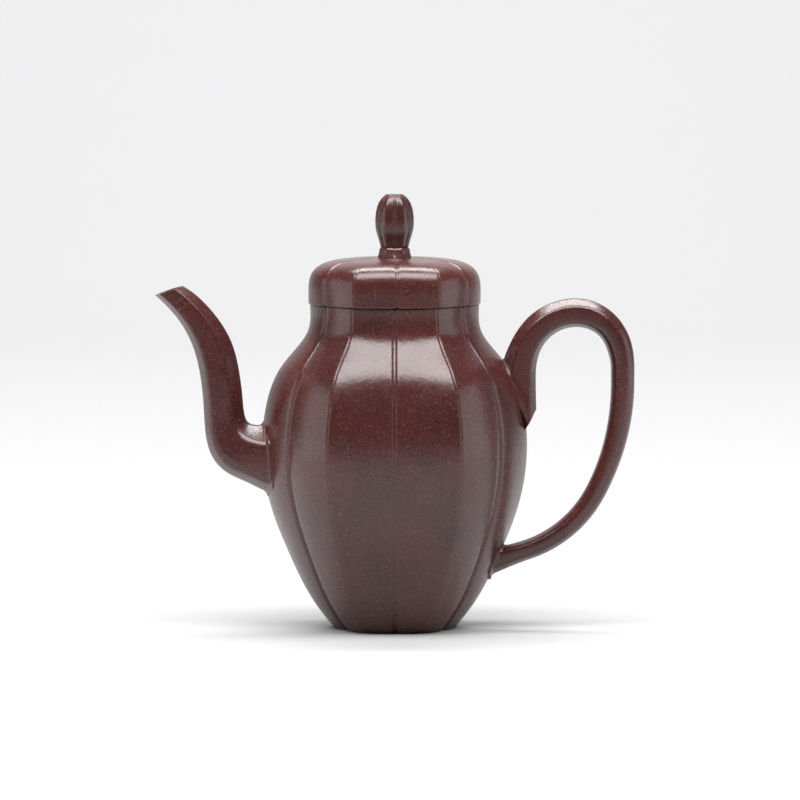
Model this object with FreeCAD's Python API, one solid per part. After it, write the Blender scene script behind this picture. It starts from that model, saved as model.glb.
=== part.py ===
"""Six-ribbed yixing clay teapot with a lift-off lid.

Frame: +Z up, origin on the table under the belly's axis, spout along -X, handle along +X.
Ribs (ridges) stand every 60 degrees starting at +X; grooves lie midway between them.
"""
import FreeCAD, Part
import math
import os

Vector = FreeCAD.Vector

# ---------------- driving sizes, millimetres ----------------
RIBS = 6                      # ridges round the pot, lid and knob
WALL = 3.0                    # clay wall

# Belly and neck: ridge radius against height, one flowing outline from foot to rim.
BODY_OUTLINE = [(21.4, 0.0), (28.4, 9.0), (37.2, 26.0), (43.7, 43.0), (46.7, 61.5), (45.6, 77.0),
                (40.8, 90.7), (34.1, 99.2), (30.6, 104.6), (29.9, 114.0)]
BELLY_SEAM = 66.0             # the two pressed belly shells meet here
SHOULDER = 85.0               # the grooves begin to ease off here
NECK_BASE = 104.6             # seam between shoulder and neck collar
RIM = 114.0                   # top of the neck, where the lid rests
BELLY_GROOVE = 0.084          # groove depth as a share of the ridge radius
NECK_GROOVE = 0.060
INNER_GROOVE = 0.050          # softer lobes on the inside
NECK_BORE_R = 24.6
SEAM = 0.6                    # thickness of a luting layer

# Base
BASE_R = 17.0
BASE_THICK = 3.6
BASE_SLIP = 0.8               # width of the luting ring round the base plate
HOLLOW_R = 13.0               # shallow hollow under the base
HOLLOW_DEPTH = 0.8

# Lid
LID_OUTLINE = [(30.2, 114.0), (30.3, 118.0), (30.1, 121.6), (28.7, 125.4), (25.0, 128.2),
               (17.0, 129.8), (6.2, 130.3)]
LID_GROOVE = 0.050
LID_TURN = 2.0                # degrees that the lid sits round from true
LID_HOLLOW_R = 21.0
LID_HOLLOW_SPRING = 119.0     # height where the hollow's wall turns into its dome
LID_HOLLOW_SIDE = (15.1, 0.0, 124.3)   # point that the dome passes on its way up
LID_HOLLOW_TOP = 126.9
FLANGE_CLEARANCE = 0.3
FLANGE_WALL = 2.6
FLANGE_DROP = 8.0             # how far the flange reaches into the neck
LID_SLIP = 1.2

# Knob
COLLAR_R = 6.1
COLLAR_MIDDLE = (5.6, 131.9)  # radius, height
WAIST_R = 5.1
WAIST_Z = 133.8
BUD_OUTLINE = [(5.1, 133.8), (5.6, 136.0), (6.7, 140.2), (6.8, 144.0), (6.2, 148.0),
               (4.8, 150.8), (2.8, 152.4)]
BUD_GROOVE = 0.110
VENT_R = 1.0

# Spout: (low x, low z, high x, high z, depth in Y), from inside the belly to the mouth.
SPOUT_STATIONS = [
    (-39.0, 45.4, -39.0, 71.8, 19.0),
    (-46.0, 48.1, -46.0, 72.0, 18.0),
    (-52.5, 51.2, -48.8, 72.1, 17.0),
    (-59.2, 54.4, -50.8, 72.9, 15.5),
    (-64.0, 59.6, -51.9, 74.6, 14.0),
    (-66.4, 66.8, -52.4, 77.5, 13.0),
    (-67.2, 77.0, -52.9, 82.5, 12.6),
    (-68.2, 88.0, -54.0, 90.0, 12.2),
    (-70.9, 99.2, -57.9, 103.0, 11.2),
    (-76.8, 109.7, -67.6, 115.6, 10.2),
    (-85.0, 118.0, -74.9, 120.7, 9.6),
]
LOW_FACET = 0.19              # share of the tube's width taken by the lower side facet
HIGH_FACET = 0.28             # and by the upper side facet
SPOUT_BORE_SHARE = 0.76       # bore's size against the tube's size
BORE_FACET = 0.17             # its two ends are pared alike, so it is nearly oval
OUTLET_R = 6.0
OUTLET_Z = 59.0

# Strainer dome inside the outlet
DOME_R = 9.0
DOME_WALL = 1.6
DOME_HOLE_R = 0.8
DOME_RINGS = [(0.0, 1), (26.0, 6), (52.0, 12)]   # (degrees off the axis, holes)

# Handle: its middle line starts inside the wall behind the spur and goes straight up, over
# the arch, down the long side and back into the wall, always turning the same way in XZ.
HANDLE_START = (43.4, 62.0)   # x, z
SPUR_WIDTH = 13.4             # width at the start, across the handle in XZ
HANDLE_LEGS = [               # (bend radius or 0 if straight, degrees or length, width at its end)
    (0.0, 26.0, 12.4),        # spur
    (26.0, 34.0, 10.8),       # rise of the arch
    (19.0, 56.0, 10.5),       # up to the top of the arch
    (15.5, 66.0, 9.8),        # over the top
    (26.0, 24.0, 9.3),        # down to the long side
    (0.0, 5.0, 9.3),
    (82.0, 28.0, 8.2),        # long side
    (42.0, 44.0, 7.6),        # lower bend
    (0.0, 20.0, 9.8),         # lower root, ending inside the wall
]
STATION_GAP = 8.0             # most that two sections of the handle lie apart
HANDLE_DEPTH = 9.4            # across the handle, along Y
OUTER_FACET = 0.28
INNER_FACET = 0.18
# The spur ends in one slanted cut, through these two points (x, z).
SPUR_CUT_TOP = (50.2, 77.7)
SPUR_CUT_FOOT = (46.4, 71.0)

# Ribs: each is two panels that meet in a crease on the ridge and dip to the groove.
RIDGE_SLOPE = 0.9             # share of the dip that is straight; the rest is curved
PANEL_POINTS = 5              # points that carry one panel
BODY_LEVELS = 24              # sections that carry each lofted piece
NECK_LEVELS = 6
SLIP_LEVELS = 3
CAP_LEVELS = 16
BUD_LEVELS = 12
BEYOND = 60.0                 # reach of cutters, past the pot in any direction
PANELS = 2 * RIBS
PANEL_ANGLE = math.pi / RIBS


# ---------------- shared shapes ----------------
def sink(share):
    """Share of the groove depth reached at a share of the way from ridge to groove."""
    return RIDGE_SLOPE * share + (1.0 - RIDGE_SLOPE) * share ** 2


def ribbed_wire(radius, height, depth, slope=0.0, turn=0.0):
    """Closed wire of one curved edge per half rib, sunk by depth along the outline's normal."""
    edges = []
    for panel in range(PANELS):
        points = []
        for step in range(PANEL_POINTS):
            fraction = step / (PANEL_POINTS - 1)
            share = fraction if panel % 2 == 0 else 1.0 - fraction
            drop = depth * sink(share)
            angle = turn + (panel + fraction) * PANEL_ANGLE
            reach = radius - drop * math.cos(slope)
            points.append(Vector(reach * math.cos(angle), reach * math.sin(angle),
                                 height - drop * math.sin(slope)))
        curve = Part.BSplineCurve()
        curve.interpolate(points)
        edges.append(curve.toShape())
    return Part.Wire(edges)


def outline_samples(outline, count):
    """Evenly spread (radius, height, slope of the outward normal) along a smooth outline."""
    curve = Part.BSplineCurve()
    curve.interpolate([Vector(radius, 0, height) for radius, height in outline])
    samples = []
    for step in range(count):
        where = curve.FirstParameter
        where += (curve.LastParameter - curve.FirstParameter) * step / (count - 1)
        point = curve.value(where)
        tangent = curve.tangent(where)[0]
        samples.append((point.x, point.z, math.atan2(-tangent.x, tangent.z)))
    return samples


def radius_at(outline, height):
    """Radius of a smooth outline at one height."""
    curve = Part.BSplineCurve()
    curve.interpolate([Vector(radius, 0, level) for radius, level in outline])
    plane = Part.Plane(Vector(0, 0, height), Vector(0, 0, 1))
    hit = curve.intersect(plane)[0][0]
    return hit.X


def tube(radius, low, high, inner=0.0):
    """Upright cylinder or ring about Z."""
    solid = Part.makeCylinder(radius, high - low, Vector(0, 0, low))
    if inner > 0.0:
        solid = solid.cut(Part.makeCylinder(inner, high - low, Vector(0, 0, low)))
    return solid


def save(node, shape):
    """Write one node, checking that it is a closed solid."""
    if not shape.isValid() or not shape.Solids:
        raise ValueError(node + " is not a valid solid")
    shape.exportStep("parts/" + node + ".step")
    print(node, len(shape.Solids), "solid(s)", round(shape.Volume, 1), "mm3")


# ---------------- pot body ----------------
def groove_share(height):
    """Groove depth share, easing from the belly's to the neck's over the shoulder."""
    blend = min(max((height - SHOULDER) / (NECK_BASE - SHOULDER), 0.0), 1.0)
    return BELLY_GROOVE + (NECK_GROOVE - BELLY_GROOVE) * blend


def body_solid(low, high, levels, inset=0.0, groove=None):
    """Ribbed solid between two heights, following the body outline set in by inset."""
    wires = []
    for step in range(levels):
        height = low + (high - low) * step / (levels - 1)
        radius = radius_at(BODY_OUTLINE, height)
        depth = radius * (groove_share(height) if groove is None else groove)
        wires.append(ribbed_wire(radius - inset, height, depth))
    return Part.makeLoft(wires, True)


def spout_solid(low_facet, high_facet, share=1.0):
    """Six-sided curved tube; share scales it about its own middle line."""
    wires = []
    for low_x, low_z, high_x, high_z, depth in SPOUT_STATIONS:
        low = Vector(low_x, 0, low_z)
        high = Vector(high_x, 0, high_z)
        middle = (low + high) * 0.5
        low = middle + (low - middle) * share
        high = middle + (high - middle) * share
        wires.append(facet_wire(low, high, depth * share, low_facet, high_facet))
    return Part.makeLoft(wires, True)


def facet_wire(low, high, depth, low_facet, high_facet):
    """Six-sided section between two silhouette points, flat towards -Y and +Y."""
    middle = (low + high) * 0.5
    across = (high - low) * 0.5
    side = Vector(0, depth * 0.5, 0)
    low_knee = across * (2.0 * low_facet - 1.0)
    high_knee = across * (1.0 - 2.0 * high_facet)
    corners = [middle - across, middle + low_knee - side, middle + high_knee - side,
               middle + across, middle + high_knee + side, middle + low_knee + side]
    return Part.makePolygon(corners + [corners[0]])


def strainer(cavity):
    """Pierced dome over the outlet, trimmed to the inside of the belly wall."""
    centre = Vector(-radius_at(BODY_OUTLINE, OUTLET_Z) + WALL, 0, OUTLET_Z)
    dome = Part.makeSphere(DOME_R, centre).cut(Part.makeSphere(DOME_R - DOME_WALL, centre))
    for tilt, count in DOME_RINGS:
        for step in range(count):
            drill = Part.makeCylinder(DOME_HOLE_R, 2.0 * DOME_R, centre, Vector(1, 0, 0))
            drill.rotate(centre, Vector(0, 1, 0), tilt)
            drill.rotate(centre, Vector(1, 0, 0), 360.0 * step / count)
            dome = dome.cut(drill)
    return dome.common(cavity)


def handle_wire(x, z, heading, width):
    """Section of the handle, square to its line, whose outer side lies left of the heading."""
    middle = Vector(x, 0, z)
    outwards = Vector(-math.sin(heading), 0, math.cos(heading)) * (width * 0.5)
    return facet_wire(middle - outwards, middle + outwards, HANDLE_DEPTH, INNER_FACET, OUTER_FACET)


def handle_wires():
    """Sections at even steps along the straight runs and tangent arcs of the handle's line."""
    x, z = HANDLE_START
    heading = math.pi / 2.0
    width = SPUR_WIDTH
    wires = [handle_wire(x, z, heading, width)]
    for bend, amount, end_width in HANDLE_LEGS:
        length = bend * math.radians(amount) if bend else amount
        count = math.ceil(length / STATION_GAP)
        turn = length / count / bend if bend else 0.0
        chord = 2.0 * bend * math.sin(turn * 0.5) if bend else length / count
        for step in range(1, count + 1):
            x += chord * math.cos(heading - turn * 0.5)
            z += chord * math.sin(heading - turn * 0.5)
            heading -= turn
            gone = step / count
            ease = gone * gone * (3.0 - 2.0 * gone)
            wires.append(handle_wire(x, z, heading, width + (end_width - width) * ease))
        width = end_width
    return wires


def handle_solid():
    """Ear-shaped loop whose upper root runs down as a spur, trimmed by one slanted cut."""
    top = Vector(SPUR_CUT_TOP[0], -HANDLE_DEPTH, SPUR_CUT_TOP[1])
    foot = Vector(SPUR_CUT_FOOT[0], -HANDLE_DEPTH, SPUR_CUT_FOOT[1])
    along = (top - foot) * 3.0
    corners = [foot - along, foot + along, foot + along - Vector(0, 0, BEYOND)]
    waste = Part.Face(Part.makePolygon(corners + [corners[0]]))
    waste = waste.extrude(Vector(0, 2.0 * HANDLE_DEPTH, 0))
    return Part.makeLoft(handle_wires(), True).cut(waste)


def make_belly(belly, cavity):
    """Two pressed shells that meet just above the widest line, the outlet in the lower one."""
    outlet = Part.makeCylinder(OUTLET_R, BEYOND, Vector(-BEYOND, 0, OUTLET_Z), Vector(1, 0, 0))
    seat = tube(BASE_R + BASE_SLIP, 0.0, BASE_THICK)
    wall = belly.cut(cavity).cut(seat).cut(outlet.common(belly))
    above = tube(BEYOND, BELLY_SEAM, NECK_BASE)
    save("belly_lower", wall.cut(above))
    save("belly_upper", wall.common(above))


def make_pot():
    belly = body_solid(0.0, NECK_BASE - SEAM, BODY_LEVELS)
    cavity = body_solid(0.0, NECK_BASE - SEAM, BODY_LEVELS, WALL, INNER_GROOVE)
    cavity = cavity.cut(tube(BEYOND, -SEAM, BASE_THICK))
    make_belly(belly, cavity)
    base = tube(BASE_R, 0.0, BASE_THICK)
    save("base_plate", base.cut(tube(HOLLOW_R, 0.0, HOLLOW_DEPTH)))
    save("base_slip", tube(BASE_R + BASE_SLIP, 0.0, BASE_THICK, BASE_R))
    bore = tube(NECK_BORE_R, NECK_BASE - 2.0 * SEAM, RIM + SEAM)
    save("neck_slip", body_solid(NECK_BASE - SEAM, NECK_BASE, SLIP_LEVELS).cut(bore))
    save("neck_collar", body_solid(NECK_BASE, RIM, NECK_LEVELS).cut(bore))
    bore_tool = spout_solid(BORE_FACET, BORE_FACET, SPOUT_BORE_SHARE)
    save("spout_tube", spout_solid(LOW_FACET, HIGH_FACET).cut(belly).cut(bore_tool))
    save("strainer_dome", strainer(cavity))
    save("handle_loop", handle_solid().cut(belly))


# ---------------- lid ----------------
def faded_solid(outline, groove, count, turn=0.0):
    """Ribbed solid whose grooves die away towards its top; its foot is upright and flat."""
    end_radius = outline[-1][0]
    widest = max(radius for radius, height in outline)
    wires = []
    for step, (radius, height, slope) in enumerate(outline_samples(outline, count)):
        fade = min((radius - end_radius) / (widest - end_radius), 1.0)
        lean = slope if step else 0.0
        wires.append(ribbed_wire(radius, height, groove * widest * fade, lean, turn))
    return Part.makeLoft(wires, True)


def lid_hollow():
    """Round hollow under the lid: an upright wall that turns into a low dome."""
    below = RIM - SEAM
    spring = Vector(LID_HOLLOW_R, 0, LID_HOLLOW_SPRING)
    crown = Vector(0, 0, LID_HOLLOW_TOP)
    dome = Part.Arc(spring, Vector(*LID_HOLLOW_SIDE), crown).toShape()
    rest = Part.makePolygon([crown, Vector(0, 0, below), Vector(LID_HOLLOW_R, 0, below), spring])
    half = Part.Face(Part.Wire([dome] + rest.Edges))
    return half.revolve(Vector(0, 0, 0), Vector(0, 0, 1), 360)


def make_lid():
    vent = tube(VENT_R, RIM, RIM + BEYOND)
    cap = faded_solid(LID_OUTLINE, LID_GROOVE, CAP_LEVELS, math.radians(LID_TURN))
    save("lid_shell", cap.cut(lid_hollow()).cut(vent))
    flange_r = NECK_BORE_R - FLANGE_CLEARANCE
    slip_low = RIM - LID_SLIP
    save("lid_slip", tube(flange_r, slip_low, RIM, flange_r - FLANGE_WALL))
    save("lid_flange", tube(flange_r, RIM - FLANGE_DROP, slip_low, flange_r - FLANGE_WALL))
    top = LID_OUTLINE[-1][1]
    wires = []
    for radius, height in [(COLLAR_R, top), COLLAR_MIDDLE, (WAIST_R, WAIST_Z)]:
        wires.append(ribbed_wire(radius, height, radius * BUD_GROOVE * 0.5))
    save("knob_collar", Part.makeLoft(wires, True).cut(vent))
    bud = faded_solid(BUD_OUTLINE, BUD_GROOVE, BUD_LEVELS)
    save("knob_bud", bud.cut(vent))


os.makedirs("parts", exist_ok=True)
make_pot()
make_lid()
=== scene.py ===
import bpy
import math
import numpy as np
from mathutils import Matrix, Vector


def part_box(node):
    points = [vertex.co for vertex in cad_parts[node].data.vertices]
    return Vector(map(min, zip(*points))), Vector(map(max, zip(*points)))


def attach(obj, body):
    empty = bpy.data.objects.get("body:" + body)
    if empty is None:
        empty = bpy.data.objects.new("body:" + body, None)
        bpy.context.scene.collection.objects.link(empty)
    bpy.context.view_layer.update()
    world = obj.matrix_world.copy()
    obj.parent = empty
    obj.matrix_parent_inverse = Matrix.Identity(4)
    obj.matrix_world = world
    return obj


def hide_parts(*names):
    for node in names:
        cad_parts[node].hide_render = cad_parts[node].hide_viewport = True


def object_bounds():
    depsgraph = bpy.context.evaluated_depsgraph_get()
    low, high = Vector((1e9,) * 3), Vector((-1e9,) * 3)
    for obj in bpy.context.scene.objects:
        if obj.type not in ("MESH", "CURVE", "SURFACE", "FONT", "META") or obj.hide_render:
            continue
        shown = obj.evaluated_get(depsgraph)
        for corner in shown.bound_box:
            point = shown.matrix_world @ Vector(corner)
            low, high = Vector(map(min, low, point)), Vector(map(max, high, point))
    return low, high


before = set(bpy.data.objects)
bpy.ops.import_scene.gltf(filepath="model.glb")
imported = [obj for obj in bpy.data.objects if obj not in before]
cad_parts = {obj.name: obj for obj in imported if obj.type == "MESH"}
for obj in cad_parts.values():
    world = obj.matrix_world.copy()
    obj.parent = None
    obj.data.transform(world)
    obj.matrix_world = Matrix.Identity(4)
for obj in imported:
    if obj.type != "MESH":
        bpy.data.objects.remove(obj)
cad_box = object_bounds()


# ---------------------------------------------------------------- pot wall
# The belly and neck of the pot: slabs of purple-brown stoneware clay beaten round, pressed
# into six ribs from foot to rim, luted at the shoulder and burnished until no seam is left.
# The same wall turns over the rim and runs down inside as softer ribs.
MM = 0.001
RIBS = 6
HALF_RIB = math.pi / RIBS
RIM_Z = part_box("neck_collar")[1].z
FOOT_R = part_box("base_slip")[1].x
FLOOR_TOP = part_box("base_plate")[1].z
BORE_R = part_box("lid_flange")[1].x + 0.3 * MM
POT_SIDE = [(21.4, 0.0), (28.4, 9.0), (37.2, 26.0), (43.7, 43.0), (46.7, 61.5), (45.6, 77.0),
            (40.8, 90.7), (34.1, 99.2), (30.6, 104.6), (29.9, 114.0)]
BURNISH = 0.15 * MM
WALL = 3.0 * MM
NECK_INSIDE_Z = RIM_Z - 10.0 * MM
BELLY_GROOVE = 0.084
NECK_GROOVE = 0.060
INSIDE_GROOVE = 0.050
CHANNEL = 0.62 * MM
CHANNEL_HALF = 0.95 * MM
RIDGE_SOFT = 0.008
GROOVE_SOFT = 0.010
RIDGE_SLOPE = 1.35
CREASE = 0.16 * MM
CREASE_HALF = 0.40 * MM
COLUMNS_PER_HALF_RIB = 28
EDGE_ROUND = 0.7 * MM
SHOULDER_FROM = 0.746
SHOULDER_SPAN = 0.172
SATIN_SPECULAR = 0.62


def flow(points, count):
    """Even steps along one smooth line that passes through a few chosen points."""
    knots = np.array(points, float)
    run = np.linalg.norm(np.diff(knots[:, :2], axis=0), axis=1)
    where = np.concatenate([[0.0], np.cumsum(run)])
    size = len(knots)
    system = np.eye(size)
    right = np.zeros_like(knots)
    for i in range(1, size - 1):
        before = where[i] - where[i - 1]
        after = where[i + 1] - where[i]
        system[i, i - 1:i + 2] = before, 2.0 * (before + after), after
        right[i] = 6.0 * ((knots[i + 1] - knots[i]) / after - (knots[i] - knots[i - 1]) / before)
    bend = np.linalg.solve(system, right)

    def at(places):
        span = np.clip(np.searchsorted(where, places, "right") - 1, 0, size - 2)
        gap = (where[span + 1] - where[span])[:, None]
        ahead = ((where[span + 1] - places) / gap[:, 0])[:, None]
        gone = 1.0 - ahead
        curve = (ahead ** 3 - ahead) * bend[span] + (gone ** 3 - gone) * bend[span + 1]
        return ahead * knots[span] + gone * knots[span + 1] + curve * gap ** 2 / 6.0

    fine = np.linspace(0.0, where[-1], 1200)
    steps = np.linalg.norm(np.diff(at(fine)[:, :2], axis=0), axis=1)
    along = np.concatenate([[0.0], np.cumsum(steps)])
    return at(np.interp(np.linspace(0.0, along[-1], count), along, fine))


def soft_corners(path):
    """Round the corners of a closed path of (radius, height, rounding, groove, channel)."""
    out = []
    for i, here in enumerate(path):
        here = np.array(here, float)
        if here[2] <= 0.0:
            out.append(here)
            continue
        before = np.array(path[i - 1], float)
        after = np.array(path[(i + 1) % len(path)], float)
        start = here + (before - here) * min(0.45, here[2] / np.linalg.norm((before - here)[:2]))
        end = here + (after - here) * min(0.45, here[2] / np.linalg.norm((after - here)[:2]))
        for t in np.linspace(0.0, 1.0, 6):
            out.append((1 - t) ** 2 * start + 2 * t * (1 - t) * here + t * t * end)
    return np.array(out)


def rib_columns():
    """(angle, share from ridge to groove) of each upright line of points round a ribbed piece."""
    columns = []
    for half in range(2 * RIBS):
        for step in range(COLUMNS_PER_HALF_RIB):
            part = 0.5 - 0.5 * math.cos(math.pi * step / COLUMNS_PER_HALF_RIB)
            columns.append(((half + part) * HALF_RIB, part if half % 2 == 0 else 1.0 - part))
    return columns


def sink(share):
    """How far down into the groove the clay lies, from 0 on the ridge to 1 in the groove."""
    off_ridge = math.hypot(share, RIDGE_SOFT) - RIDGE_SOFT
    off_groove = math.hypot(1.0 - off_ridge, GROOVE_SOFT) - GROOVE_SOFT
    depth = 1.0 - off_groove
    return RIDGE_SLOPE * depth + (1.0 - RIDGE_SLOPE) * depth * depth


def new_piece(name, points, faces, sharp=32.0):
    """A smooth-shaded piece with crisp edges only where its faces really turn."""
    mesh = bpy.data.meshes.new(name)
    mesh.from_pydata([tuple(p) for p in points], [], faces)
    mesh.update()
    mesh.polygons.foreach_set("use_smooth", [True] * len(mesh.polygons))
    mesh.set_sharp_from_angle(angle=math.radians(sharp))
    piece = bpy.data.objects.new(name, mesh)
    bpy.context.scene.collection.objects.link(piece)
    return piece


def ribbed_ring(name, path, channel_half, turn=0.0):
    """Carry a closed path round the pot's axis, sinking it into six ribs as it goes."""
    ring = soft_corners(path)
    ahead = np.roll(ring, -1, axis=0)[:, :2] - np.roll(ring, 1, axis=0)[:, :2]
    normal = np.stack([ahead[:, 1], -ahead[:, 0]], axis=1)
    normal /= np.maximum(np.linalg.norm(normal, axis=1), 1e-9)[:, None]
    points = []
    columns = rib_columns()
    for angle, share in columns:
        aside = (1.0 - share) * HALF_RIB * ring[:, 0]
        pressed = ring[:, 4] * np.exp(-(aside / channel_half) ** 2)
        off_crest = share * HALF_RIB * ring[:, 0] / CREASE_HALF
        pressed += CREASE * ring[:, 4] / CHANNEL * np.exp(-off_crest ** 2)
        radius = ring[:, 0] - ring[:, 3] * sink(share) - normal[:, 0] * pressed
        height = ring[:, 1] - normal[:, 1] * pressed
        cos, sin = math.cos(angle + turn), math.sin(angle + turn)
        points.extend(zip(radius * cos, radius * sin, height))
    rows = len(ring)
    faces = []
    for c in range(len(columns)):
        d = (c + 1) % len(columns)
        for r in range(rows):
            s = (r + 1) % rows
            faces.append((c * rows + r, d * rows + r, d * rows + s, c * rows + s))
    return new_piece(name, points, faces)


def groove_share(height):
    """The ribs are cut deepest on the belly and ease off over the shoulder."""
    blend = min(max((height / RIM_Z - SHOULDER_FROM) / SHOULDER_SPAN, 0.0), 1.0)
    return BELLY_GROOVE + (NECK_GROOVE - BELLY_GROOVE) * blend


def clay(name, colour, gloss_low, gloss_high, relief):
    """Burnished purple-brown stoneware: sandy grain, pale mica flecks and a faint orange peel."""
    material = bpy.data.materials.new(name)
    material.use_nodes = True
    nodes = material.node_tree.nodes
    link = material.node_tree.links.new
    shader = nodes["Principled BSDF"]
    shader.inputs["Specular IOR Level"].default_value = SATIN_SPECULAR
    place = nodes.new("ShaderNodeTexCoord").outputs["Object"]

    def noise(scale, detail, rough=0.55):
        node = nodes.new("ShaderNodeTexNoise")
        node.inputs["Scale"].default_value = scale
        node.inputs["Detail"].default_value = detail
        node.inputs["Roughness"].default_value = rough
        link(place, node.inputs["Vector"])
        return node.outputs["Fac"]

    def ramp(value, low, high, low_colour, high_colour):
        node = nodes.new("ShaderNodeValToRGB")
        node.color_ramp.elements[0].position = low
        node.color_ramp.elements[1].position = high
        node.color_ramp.elements[0].color = (*low_colour, 1.0)
        node.color_ramp.elements[1].color = (*high_colour, 1.0)
        link(value, node.inputs["Fac"])
        return node.outputs["Color"]

    def mix(kind, amount, base, top):
        node = nodes.new("ShaderNodeMix")
        node.data_type = "RGBA"
        node.blend_type = kind
        for socket, value in (("Factor", amount), ("A", base), ("B", top)):
            if isinstance(value, float):
                node.inputs[socket].default_value = value
            elif isinstance(value, tuple):
                node.inputs[6 if socket == "A" else 7].default_value = (*value, 1.0)
            else:
                link(value, node.inputs[{"Factor": 0, "A": 6, "B": 7}[socket]])
        return node.outputs[2]

    def flecks(scale, size, chance):
        node = nodes.new("ShaderNodeTexVoronoi")
        node.inputs["Scale"].default_value = scale
        link(place, node.inputs["Vector"])
        dot = ramp(node.outputs["Distance"], size * 0.5, size, (1, 1, 1), (0, 0, 0))
        pick = ramp(node.outputs["Color"], 1.0 - chance, 1.0 - chance + 0.02, (0, 0, 0), (1, 1, 1))
        return mix("MULTIPLY", 1.0, dot, pick)

    red, green, blue = colour
    warm = (red * 1.22, green * 1.16, blue * 1.02)
    cool = (red * 0.82, green * 0.86, blue * 0.92)
    body = ramp(noise(45.0, 3.0), 0.35, 0.68, cool, warm)
    grain = ramp(noise(1700.0, 3.0), 0.34, 0.66, (0.58, 0.58, 0.58), (1.5, 1.45, 1.45))
    body = mix("MULTIPLY", 1.0, body, grain)
    soot = flecks(scale=1300.0, size=0.34, chance=0.12)
    body = mix("MIX", soot, body, (red * 0.25, green * 0.3, blue * 0.3))
    sand_grains = flecks(scale=1400.0, size=0.32, chance=0.22)
    body = mix("MIX", sand_grains, body, (0.20, 0.090, 0.075))
    mica = flecks(scale=800.0, size=0.18, chance=0.12)
    body = mix("MIX", mica, body, (0.32, 0.19, 0.15))
    link(body, shader.inputs["Base Color"])
    gloss = ramp(noise(260.0, 4.0), 0.30, 0.72, (gloss_low,) * 3, (gloss_high,) * 3)
    link(gloss, shader.inputs["Roughness"])
    peel = nodes.new("ShaderNodeBump")
    peel.inputs["Strength"].default_value = 1.0
    peel.inputs["Distance"].default_value = relief
    link(noise(700.0, 3.0), peel.inputs["Height"])
    sand = nodes.new("ShaderNodeBump")
    sand.inputs["Strength"].default_value = 1.0
    sand.inputs["Distance"].default_value = relief * 0.45
    link(noise(2600.0, 2.0), sand.inputs["Height"])
    link(peel.outputs["Normal"], sand.inputs["Normal"])
    link(sand.outputs["Normal"], shader.inputs["Normal"])
    return material


CLAY_COLOUR = (0.060, 0.0165, 0.0155)
burnished = clay("burnished zisha", CLAY_COLOUR, 0.20, 0.29, 0.06 * MM)

side = flow([(r * MM - BURNISH, z * MM) for r, z in POT_SIDE], 150)


def wall_path():
    """Section of the wall: up the outside, over the rim, down the inside, under the foot."""
    path = [(FOOT_R, 0.0, 0.15 * MM, 0.0, 0.0)]
    for i, (radius, height) in enumerate(side):
        groove = radius * groove_share(height)
        rounding = EDGE_ROUND if i in (0, len(side) - 1) else 0.0
        path.append((radius, height, rounding, groove, CHANNEL))
    path.append((BORE_R, RIM_Z, EDGE_ROUND, 0.0, 0.0))
    path.append((BORE_R, NECK_INSIDE_Z, 0.5 * MM, 0.0, 0.0))
    inside = [p for p in side[::-3] if FLOOR_TOP + 1.0 * MM < p[1] < NECK_INSIDE_Z]
    for radius, height in inside:
        path.append((radius - WALL, height, 0.0, (radius - WALL) * INSIDE_GROOVE, 0.0))
    floor_r = np.interp(FLOOR_TOP, side[:, 1], side[:, 0]) - WALL
    path.append((floor_r, FLOOR_TOP, 0.8 * MM, 0.0, 0.0))
    path.append((FOOT_R, FLOOR_TOP, 0.1 * MM, 0.0, 0.0))
    return path


pot_wall = ribbed_ring("pot_wall", wall_path(), CHANNEL_HALF)
pot_wall.data.materials.append(burnished)
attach(pot_wall, "pot")
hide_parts("belly_lower", "belly_upper", "neck_slip", "neck_collar")


# ---------------------------------------------------------------- base plate
# A round plate of the same clay that closes the foot, luted in with a ring of slip.
# Its underside is pared slightly hollow so that the pot stands on a flat ring.
plain = clay("plain zisha", (0.090, 0.035, 0.031), 0.45, 0.60, 0.05 * MM)


def round_ring(name, path):
    """Carry a closed path round the axis with no ribs."""
    return ribbed_ring(name, [(r, z, soft, 0.0, 0.0) for r, z, soft in path], 1.0 * MM)


PLATE_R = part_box("base_plate")[1].x
HOLLOW_R = 13.0 * MM
HOLLOW_DEEP = 0.8 * MM
PIN = 0.02 * MM
base_plate = round_ring("base_plate_disc", [
    (PIN, HOLLOW_DEEP, 0.0), (HOLLOW_R - 1.2 * MM, HOLLOW_DEEP, 0.5 * MM),
    (HOLLOW_R, 0.0, 0.4 * MM), (PLATE_R, 0.0, 0.15 * MM),
    (PLATE_R, FLOOR_TOP, 0.1 * MM), (PIN, FLOOR_TOP, 0.0)])
base_plate.data.materials.append(plain)
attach(base_plate, "pot")
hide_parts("base_plate")
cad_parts["base_slip"].data.materials.clear()
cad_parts["base_slip"].data.materials.append(plain)


# ---------------------------------------------------------------- spout
# A slender tube rolled round a taper, bent and pared into six facets, luted to the belly
# and cut level at the mouth. Its bore runs down to the outlet in the wall.
SPOUT = [  # low edge x, z, high edge x, z, depth across, softness of the facets' edges
    (-39.0, 45.4, -39.0, 71.8, 19.0, 0.16),
    (-46.0, 48.1, -46.0, 72.0, 18.0, 0.16),
    (-52.5, 51.2, -48.8, 72.1, 17.0, 0.20),
    (-59.2, 54.4, -50.8, 72.9, 15.5, 0.24),
    (-64.0, 59.6, -51.9, 74.6, 14.0, 0.22),
    (-66.4, 66.8, -52.4, 77.5, 13.0, 0.24),
    (-67.2, 77.0, -52.9, 82.5, 12.6, 0.22),
    (-68.2, 88.0, -54.0, 90.0, 12.2, 0.18),
    (-70.9, 99.2, -57.9, 103.0, 11.2, 0.14),
    (-76.8, 109.7, -67.6, 115.6, 10.2, 0.10),
    (-84.9, 118.0, -74.9, 120.7, 9.6, 0.02),
]
LOW_FACET = 0.19
HIGH_FACET = 0.28
BORE_SHARE = 0.76
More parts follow.
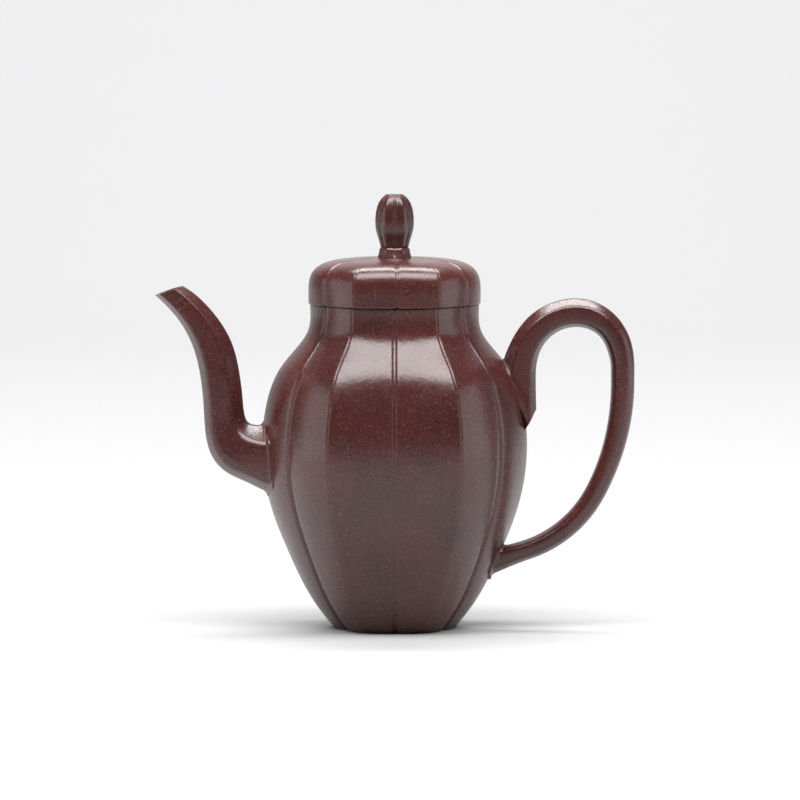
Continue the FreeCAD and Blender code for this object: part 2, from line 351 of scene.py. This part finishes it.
ROOT_SUNK = 1.0 * MM
ROOT_FILLET = 1.4 * MM
ROOT_MARGIN = 6
ROOT_EASE = 1.5
LIMB_STEPS = 400
CORNER_STEPS = 6
LIP_INSET = 0.965
LIP_ROUND = 0.05


def facet_ring(low_x, low_z, high_x, high_z, depth, soft, facets, share=1.0):
    """Six-sided section with eased corners, flat towards the two sides of the pot."""
    low = np.array([low_x, 0.0, low_z])
    high = np.array([high_x, 0.0, high_z])
    middle = (low + high) / 2.0
    across = (high - low) / 2.0 * share
    out = np.array([0.0, depth / 2.0 * share, 0.0])
    if share < 1.0:
        angles = np.linspace(0.0, 2.0 * math.pi, 6 * CORNER_STEPS, endpoint=False) + math.pi
        return np.array([middle + across * math.cos(a) + out * math.sin(a) for a in angles])
    low_knee = across * (2.0 * facets[0] - 1.0)
    high_knee = across * (1.0 - 2.0 * facets[1])
    corners = [-across, low_knee - out, high_knee - out, across, high_knee + out, low_knee + out]
    ring = []
    for i, corner in enumerate(corners):
        start = corner + (corners[i - 1] - corner) * soft
        end = corner + (corners[(i + 1) % 6] - corner) * soft
        for t in np.linspace(0.0, 1.0, CORNER_STEPS):
            ring.append(middle + (1 - t) ** 2 * start + 2 * t * (1 - t) * corner + t * t * end)
    return np.array(ring)


def wall_radius(x, y, z):
    """Radius of the pot's outer wall in the direction and at the height of a point."""
    rib = abs(math.atan2(y, x)) / HALF_RIB % 2.0
    share = rib if rib <= 1.0 else 2.0 - rib
    radius = np.interp(z, side[:, 1], side[:, 0])
    return radius * (1.0 - groove_share(z) * sink(share))


def above_wall(point):
    """How far a point stands out of the pot's wall."""
    return math.hypot(point[0], point[1]) - wall_radius(*point)


def limb_rings(stations, facets, root_rings, middle_rings, keep, share=1.0):
    """Rings of a luted-on limb; only near its roots do its lines start and end by themselves."""
    scaled = [(a * MM, b * MM, c * MM, d * MM, e * MM, f) for a, b, c, d, e, f in stations]
    table = flow(scaled, LIMB_STEPS)
    dense = np.array([facet_ring(*row, facets, share) for row in table])
    middles = dense.mean(axis=1)
    spans = []
    for j in range(dense.shape[1]):
        free = [i for i in range(len(dense)) if keep(dense[i, j])]
        spans.append((free[0], free[-1]))
    start = max(first for first, last in spans) + ROOT_MARGIN
    stop = min(last for first, last in spans) - ROOT_MARGIN
    near = np.linspace(0.0, 1.0, root_rings, endpoint=False) ** ROOT_EASE
    rings = []
    for j, (first, last) in enumerate(spans):
        where = list(first + (start - first) * near)
        where += list(np.linspace(start, max(stop, start + 1), middle_rings))
        if last < len(dense) - 1:
            where += list(last - (last - stop) * near[::-1])
        line = np.stack([np.interp(where, range(len(dense)), dense[:, j, k]) for k in range(3)], 1)
        core = np.stack([np.interp(where, range(len(dense)), middles[:, k]) for k in range(3)], 1)
        for i, point in enumerate(line):
            gap = max(above_wall(point), 0.0)
            if gap < ROOT_FILLET and share == 1.0:
                swell = ROOT_FILLET - math.sqrt(ROOT_FILLET ** 2 - (ROOT_FILLET - gap) ** 2)
                away = point - core[i]
                line[i] = point + away / np.linalg.norm(away) * swell
        rings.append(line)
    return np.array(rings).transpose(1, 0, 2)


def tube_faces(rings, around, start=0):
    """Faces that join rings of points, each of the same number, one to the next."""
    faces = []
    for r in range(rings - 1):
        for a in range(around):
            b = (a + 1) % around
            low = start + r * around
            faces.append((low + a, low + b, low + around + b, low + around + a))
    return faces


def spout_rings():
    outside = limb_rings(SPOUT, (LOW_FACET, HIGH_FACET), 26, 74,
                         lambda p: above_wall(p) > -ROOT_SUNK)
    inside = limb_rings(SPOUT, (LOW_FACET, HIGH_FACET), 10, 50,
                        lambda p: above_wall(p) > -ROOT_SUNK, BORE_SHARE)
    mouth = outside[-1]
    centre = mouth.mean(axis=0)
    lip_edge = centre + (mouth - centre) * LIP_INSET
    outside[-1] = outside[-2] * LIP_ROUND + mouth * (1.0 - LIP_ROUND)
    return np.concatenate([outside, [lip_edge], inside[::-1]])


rings = spout_rings()
around = rings.shape[1]
last_ring = (len(rings) - 1) * around
seam = [(last_ring + a, last_ring + (a + 1) % around, (a + 1) % around, a) for a in range(around)]
spout = new_piece("spout", rings.reshape(-1, 3), tube_faces(len(rings), around) + seam)
spout.data.materials.append(burnished)
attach(spout, "pot")
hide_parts("spout_tube")
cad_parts["strainer_dome"].data.materials.clear()
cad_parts["strainer_dome"].data.materials.append(plain)


# ---------------------------------------------------------------- handle
# An ear-shaped loop rolled from one solid strip of clay, pared to soft facets and luted on.
# Its upper root runs down the belly as a spur that ends in one slanted cut.
HANDLE_START = (43.4, 62.0)
SPUR_WIDTH = 13.4
HANDLE_LEGS = [  # bend radius or 0 if straight, degrees or length, width and softness at its end
    (0.0, 26.0, 12.4, 0.12),
    (26.0, 34.0, 10.8, 0.14),
    (19.0, 56.0, 10.5, 0.18),
    (15.5, 66.0, 9.8, 0.36),
    (26.0, 24.0, 9.3, 0.46),
    (0.0, 5.0, 9.3, 0.48),
    (82.0, 28.0, 8.2, 0.48),
    (42.0, 44.0, 7.6, 0.30),
    (0.0, 20.0, 9.8, 0.16),
]
HANDLE_DEPTH = 9.4
SPUR_SOFT = 0.10
OUTER_FACET = 0.28
INNER_FACET = 0.18
CUT_TOP = np.array([50.2, 0.0, 77.7]) * MM
CUT_FOOT = np.array([46.4, 0.0, 71.0]) * MM
CUT_LOWEST_Z = 50.0 * MM
CUT_FARTHEST_X = 51.0 * MM
CUT_SUNK = 0.5


def clear_of_cut(point):
    """True above the slanted cut that ends the spur; it only reaches the upper root."""
    along = CUT_TOP - CUT_FOOT
    rise = along[0] * (point[2] - CUT_FOOT[2]) - along[2] * (point[0] - CUT_FOOT[0])
    return rise > 0.0 or point[2] < CUT_LOWEST_Z or point[0] > CUT_FARTHEST_X


def handle_stations(gap=4.0):
    """Inner edge, outer edge, depth and softness along straight runs and tangent arcs."""
    x, z = HANDLE_START
    heading = math.pi / 2
    width, soft = SPUR_WIDTH, SPUR_SOFT
    stations = [(x + width / 2, z, x - width / 2, z, HANDLE_DEPTH, soft)]
    for bend, amount, end_width, end_soft in HANDLE_LEGS:
        length = bend * math.radians(amount) if bend else amount
        count = math.ceil(length / gap)
        turn = length / count / bend if bend else 0.0
        chord = 2.0 * bend * math.sin(turn / 2) if bend else length / count
        for step in range(1, count + 1):
            x += chord * math.cos(heading - turn / 2)
            z += chord * math.sin(heading - turn / 2)
            heading -= turn
            gone = step / count
            ease = gone * gone * (3.0 - 2.0 * gone)
            half = (width + (end_width - width) * ease) / 2
            aside, up = -math.sin(heading) * half, math.cos(heading) * half
            stations.append((x - aside, z - up, x + aside, z + up, HANDLE_DEPTH,
                             soft + (end_soft - soft) * ease))
        width, soft = end_width, end_soft
    return stations


rings = limb_rings(handle_stations(), (INNER_FACET, OUTER_FACET), 30, 120,
                   lambda p: above_wall(p) > -ROOT_SUNK and clear_of_cut(p))
around = rings.shape[1]
apex = [CUT_FOOT - (CUT_TOP - CUT_FOOT) * CUT_SUNK]
apex_index = len(rings) * around
last_ring = apex_index - around
cap = [(a, apex_index, (a + 1) % around) for a in range(around)]
root = [(last_ring + a, last_ring + (a + 1) % around, apex_index + 1) for a in range(around)]
low_root = [rings[-1].mean(axis=0)]
handle = new_piece("handle", np.concatenate([rings.reshape(-1, 3), apex, low_root]),
                   tube_faces(len(rings), around) + cap + root)
handle.data.materials.append(burnished)
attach(handle, "pot")
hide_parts("handle_loop")


# ---------------------------------------------------------------- lid
# A six-ribbed cap pressed to match the neck, hollow underneath, pierced by the air hole.
# It sits a couple of degrees round from true, as a loose lid does.
lid_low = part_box("lid_shell")[0]
LID_SIDE = [(30.2, 114.0), (30.25, 118.0), (30.1, 121.6), (28.7, 125.4), (25.0, 128.2),
            (17.0, 129.8), (6.2, 130.25)]
LID_TURN = math.radians(2.0)
LID_GROOVE = 0.050
LID_CHANNEL = 0.34 * MM
LID_CHANNEL_HALF = 0.60 * MM
LID_TOP_R = 6.2 * MM
AIR_HOLE_R = 1.0 * MM
HOLLOW_SPRING_Z = 119.0 * MM
HOLLOW_TOP_Z = 126.9 * MM
LID_HOLLOW_R = 21.0 * MM
HOLLOW_STEPS = 12
CHANNEL_FADE = 8.0


def lid_path():
    """Section of the cap: up the side, over the crown to the air hole, and back underneath."""
    edge = flow([(r * MM, z * MM) for r, z in LID_SIDE], 70)
    widest = edge[:, 0].max()
    path = [(LID_HOLLOW_R, lid_low.z, 0.5 * MM, 0.0, 0.0)]
    for i, (radius, height) in enumerate(edge):
        fade = min((radius - LID_TOP_R) / (widest - LID_TOP_R), 1.0)
        rounding = 0.9 * MM if i == 0 else 0.0
        path.append((radius, height, rounding, LID_GROOVE * widest * fade,
                     LID_CHANNEL * min(1.0, fade * CHANNEL_FADE)))
    path.append((AIR_HOLE_R, LID_SIDE[-1][1] * MM, 0.2 * MM, 0.0, 0.0))
    path.append((AIR_HOLE_R, HOLLOW_TOP_Z, 0.2 * MM, 0.0, 0.0))
    for step in range(1, HOLLOW_STEPS):
        turn = step / HOLLOW_STEPS * math.pi / 2
        path.append((LID_HOLLOW_R * math.sin(turn),
                     HOLLOW_SPRING_Z + (HOLLOW_TOP_Z - HOLLOW_SPRING_Z) * math.cos(turn), 0, 0, 0))
    path.append((LID_HOLLOW_R, HOLLOW_SPRING_Z, 0.0, 0.0, 0.0))
    return path


lid = ribbed_ring("lid", lid_path(), LID_CHANNEL_HALF, LID_TURN)
lid.data.materials.append(burnished)
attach(lid, "lid")
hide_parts("lid_shell")


# ---------------------------------------------------------------- lid flange
# The plain round ring under the lid that drops into the neck and keeps the lid centred.
# It is turned separately and luted on with a bead of slip, which stays as its own ring.
flange_low, flange_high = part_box("lid_flange")
FLANGE_WALL = 2.6 * MM
flange_in = flange_high.x - FLANGE_WALL
flange = round_ring("lid_flange_ring", [
    (flange_in, flange_low.z, 0.7 * MM), (flange_high.x, flange_low.z, 0.7 * MM),
    (flange_high.x, flange_high.z, 0.1 * MM), (flange_in, flange_high.z, 0.1 * MM)])
flange.data.materials.append(plain)
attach(flange, "lid")
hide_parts("lid_flange")
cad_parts["lid_slip"].data.materials.clear()
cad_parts["lid_slip"].data.materials.append(plain)


# ---------------------------------------------------------------- knob
# A small scalloped collar and, on it, a ribbed bud with a flat tip. Both are shaped from
# pellets of clay, luted to the crown of the lid and pierced by the air hole.
collar_low, collar_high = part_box("knob_collar")
bud_low, bud_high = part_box("knob_bud")
SCALLOP = 0.16 * MM
SCALLOP_CHANNEL = 0.12 * MM
COLLAR = [(6.0, 0.0, 0.1), (5.7, 1.0, 0.0), (5.45, 2.0, 0.0), (5.35, 2.9, 0.5), (4.9, 3.5, 0.2)]
collar_path = [(AIR_HOLE_R, collar_low.z, 0.1 * MM, 0.0, 0.0)]
for radius, height, rounding in COLLAR:
    collar_path.append((radius * MM, collar_low.z + height * MM, rounding * MM,
                        SCALLOP * height, SCALLOP_CHANNEL))
collar_path.append((AIR_HOLE_R, collar_high.z, 0.1 * MM, 0.0, 0.0))
collar = ribbed_ring("knob_collar_petals", collar_path, 0.5 * MM)
BUD_SIDE = [(4.95, 133.8), (5.5, 136.0), (6.55, 139.6), (6.85, 143.4), (6.35, 147.4),
            (4.9, 150.6), (2.9, 152.4)]
BUD_GROOVE = 0.75 * MM
BUD_CHANNEL = 0.30 * MM
BUD_GROOVE_FROM_R = 1.6 * MM
BUD_GROOVE_SPAN = 4.0 * MM
bud_edge = flow([(r * MM, z * MM) for r, z in BUD_SIDE], 46)
bud_path = [(AIR_HOLE_R, bud_low.z, 0.1 * MM, 0.0, 0.0)]
for i, (radius, height) in enumerate(bud_edge):
    fade = min(1.0, (radius - BUD_GROOVE_FROM_R) / BUD_GROOVE_SPAN)
    rounding = 0.45 * MM if i in (0, len(bud_edge) - 1) else 0.0
    bud_path.append((radius, height, rounding, BUD_GROOVE * fade, BUD_CHANNEL * fade))
bud_path.append((AIR_HOLE_R, bud_high.z, 0.3 * MM, 0.0, 0.0))
bud = ribbed_ring("knob_bud_ribbed", bud_path, 0.55 * MM)
for piece, node in ((collar, "knob_collar"), (bud, "knob_bud")):
    piece.data.materials.append(burnished)
    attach(piece, "lid")
    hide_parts(node)


# ---------------------------------------------------------------- studio
# A pale seamless sweep of matt board under one broad soft lamp above and in front of the
# pot. A low soft panel on each side parts the facets, and a wash lights the backdrop.
FLOOR_Z = cad_box[0].z
SWEEP_HALF_WIDTH = 4.0
SWEEP_FRONT = -3.2
SWEEP_BACK = 1.4
SWEEP_RADIUS = 0.9
SWEEP_STEPS = 16
BACKDROP_HEIGHT = 4.0
BOARD_COLOUR = (0.44, 0.44, 0.445, 1.0)
ROOM_COLOUR = (0.93, 0.95, 1.0, 1.0)
ROOM_STRENGTH = 0.05


def sweep():
    """Floor that curves up into a backdrop."""
    section = [(SWEEP_FRONT, FLOOR_Z), (SWEEP_BACK, FLOOR_Z)]
    for step in range(1, SWEEP_STEPS + 1):
        turn = step / SWEEP_STEPS * math.pi / 2
        section.append((SWEEP_BACK + SWEEP_RADIUS * math.sin(turn),
                        FLOOR_Z + SWEEP_RADIUS * (1.0 - math.cos(turn))))
    section.append((SWEEP_BACK + SWEEP_RADIUS, FLOOR_Z + BACKDROP_HEIGHT))
    points = [(x, y, z) for y, z in section for x in (-SWEEP_HALF_WIDTH, SWEEP_HALF_WIDTH)]
    faces = [(2 * i, 2 * i + 1, 2 * i + 3, 2 * i + 2) for i in range(len(section) - 1)]
    return new_piece("sweep", points, faces)


board = bpy.data.materials.new("matt white board")
board.use_nodes = True
board_shader = board.node_tree.nodes["Principled BSDF"]
board_shader.inputs["Base Color"].default_value = BOARD_COLOUR
board_shader.inputs["Roughness"].default_value = 0.85
backdrop = sweep()
backdrop.data.materials.append(board)


def lamp(name, place, target, width, height, power):
    """Rectangular soft lamp that faces a point."""
    light = bpy.data.lights.new(name, "AREA")
    light.shape = "RECTANGLE"
    light.size = width
    light.size_y = height
    light.energy = power
    holder = bpy.data.objects.new(name, light)
    holder.location = place
    holder.rotation_euler = (Vector(target) - Vector(place)).to_track_quat("-Z", "Y").to_euler()
    bpy.context.scene.collection.objects.link(holder)


lamp("key", place=(0.0, -0.36, 1.00), target=(0.0, 0.0, 0.08), width=1.55, height=0.58, power=25.0)
for name, x in (("left_panel", -0.80), ("right_panel", 0.80)):
    lamp(name, place=(x, -0.08, 0.22), target=(0.0, -0.08, 0.22), width=0.76, height=0.44, power=1.3)
lamp("backdrop wash", place=(0.0, 0.9, 2.2), target=(0.0, 1.9, 0.3), width=2.4, height=0.8, power=92.0)
room = bpy.data.worlds.new("room")
room.use_nodes = True
room.node_tree.nodes["Background"].inputs["Color"].default_value = ROOM_COLOUR
room.node_tree.nodes["Background"].inputs["Strength"].default_value = ROOM_STRENGTH
bpy.context.scene.world = room
bpy.context.scene.view_settings.view_transform = "Standard"

VIEW_PITCH = math.radians(4.5)
VIEW_DISTANCE = 2.258
VIEW_AIM = Vector((0.0019, 0.0, 0.0802))
VIEW_LENS = 290.0
camera = bpy.data.objects.new("camera", bpy.data.cameras.new("camera"))
camera.data.lens = VIEW_LENS
camera.data.clip_end = 20.0
back = Vector((0.0, -math.cos(VIEW_PITCH), math.sin(VIEW_PITCH)))
camera.location = VIEW_AIM + back * VIEW_DISTANCE
camera.rotation_euler = (VIEW_AIM - camera.location).to_track_quat("-Z", "Y").to_euler()
bpy.context.scene.collection.objects.link(camera)
bpy.context.scene.camera = camera
